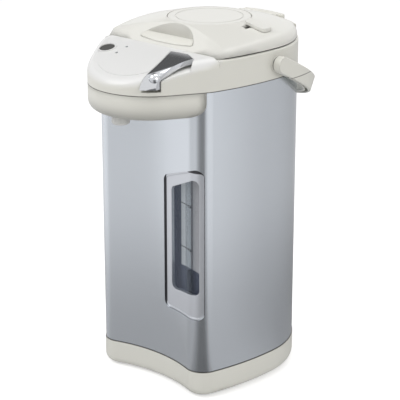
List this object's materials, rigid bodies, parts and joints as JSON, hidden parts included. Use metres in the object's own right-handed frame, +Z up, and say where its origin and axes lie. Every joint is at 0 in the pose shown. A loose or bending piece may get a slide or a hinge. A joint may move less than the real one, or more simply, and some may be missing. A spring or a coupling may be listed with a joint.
{
  "type": "electric thermo pot",
  "caption": "Electric thermo pot: round metal-skinned body, water tank, hinged lid with air pump, spout nose with lever, level window and carrying handle.",
  "frame": {"origin": "on the surface the pot stands on, under the axis of the round water tank", "axes": "+Z up, -Y out of the front, where the spout is, +X to the pot's left as seen from its front, which is the right in a front view"},
  "size_m": [0.208, 0.2698, 0.394],
  "materials": {
    "cream_plastic": "moulded plastic, warm off-white, satin",
    "lid_plastic": "moulded plastic, off-white, satin gloss",
    "white_panel": "smooth near-white plastic",
    "metal_skin": "blue-grey metallic coated steel",
    "silver_plastic": "silver painted plastic",
    "clear_plastic": "clear plastic",
    "dark_plastic": "dark plastic",
    "grey_button": "dark grey soft plastic",
    "chrome": "bright plated plastic",
    "steel": "stainless steel",
    "grey_plastic": "grey plastic",
    "rubber": "silicone rubber",
    "alloy": "cast aluminium and plated steel",
    "board_green": "circuit board",
    "brass": "plated contact pins"
  },
  "bodies": {
    "casing": {"base_shell": "cream_plastic", "bottom_cover": "dark_plastic", "base_screws": "steel", "anti_slip_ring": "rubber", "outer_shell": "metal_skin", "window_bezel": "silver_plastic", "window_lens": "clear_plastic", "gauge_tube": "clear_plastic", "gauge_backing": "dark_plastic", "inner_tank": "steel", "tank_seal": "rubber", "heater": "alloy", "thermostats": "alloy", "thermal_fuse": "steel", "pump_motor": "alloy", "pump_housing": "grey_plastic", "feed_hose": "rubber", "riser_hose": "rubber", "spout_hose": "rubber", "shoulder": "cream_plastic", "lid_well": "cream_plastic", "seal_ledge": "cream_plastic", "spout_cover": "cream_plastic", "spout_nozzle": "grey_plastic", "control_panel": "white_panel", "button_ring": "white_panel", "indicator_lenses": "clear_plastic", "control_board": "board_green", "button_switch": "dark_plastic", "lever_pin": "steel", "lever_spring": "steel", "dispense_switch": "dark_plastic", "hinge_cover": "cream_plastic", "lid_hinge_pin": "steel", "handle_pivots": "grey_plastic", "power_inlet": "dark_plastic", "inlet_pins": "brass"},
    "lid": {"lid_top": "lid_plastic", "lid_inner": "grey_plastic", "lid_liner": "steel", "lid_seal": "rubber", "latch_pin": "steel", "pump_bellows": "rubber", "pump_spring": "steel"},
    "latch": {"lid_latch": "cream_plastic"},
    "air_plate": {"pump_plate": "lid_plastic"},
    "lock": {"pump_lock": "lid_plastic"},
    "bail": {"handle": "cream_plastic"},
    "button": {"reheat_button": "grey_button"},
    "lever": {"dispense_lever": "chrome", "lever_stud": "chrome"},
    "rotor": {"pump_rotor": "grey_plastic"}
  },
  "joints": [
    {"name": "lid_hinge", "type": "hinge", "parent": "casing", "child": "lid", "pos_m": [0, 0.076, 0.378], "axis": [-1, 0, 0], "range_deg": [0, 80]},
    {"name": "latch_pull", "type": "hinge", "parent": "lid", "child": "latch", "pos_m": [0, -0.0705, 0.3744], "axis": [1, 0, 0], "range_deg": [0, 14], "stiffness_Nm_per_rad": 0.5, "springref_deg": -4.98},
    {"name": "pump_press", "type": "slide", "parent": "lid", "child": "air_plate", "axis": [0, 0, -1], "range_m": [0, 0.014], "stiffness_N_per_m": 600, "springref_m": -0.003, "deforming": ["pump_bellows", "pump_spring"]},
    {"name": "pump_lock_turn", "type": "hinge", "parent": "lid", "child": "lock", "pos_m": [0, -0.004, 0.385], "axis": [0, 0, -1], "range_deg": [0, 11]},
    {"name": "handle_swing", "type": "hinge", "parent": "casing", "child": "bail", "pos_m": [0, -0.004, 0.354], "axis": [1, 0, 0], "range_deg": [0, 120]},
    {"name": "reheat_button_press", "type": "slide", "parent": "casing", "child": "button", "axis": [0, 0.235, -0.972], "range_m": [0, 0.002], "stiffness_N_per_m": 800, "springref_m": -0.0005},
    {"name": "lever_press", "type": "hinge", "parent": "casing", "child": "lever", "pos_m": [0, -0.094, 0.36713], "axis": [1, 0, 0], "range_deg": [0, 2], "stiffness_Nm_per_rad": 2, "springref_deg": -2.98, "deforming": ["lever_spring"]},
    {"name": "pump_rotor_spin", "type": "hinge", "parent": "casing", "child": "rotor", "pos_m": [0, -0.05, 0.03], "axis": [0, 0, 1], "continuous": true}
  ]
}
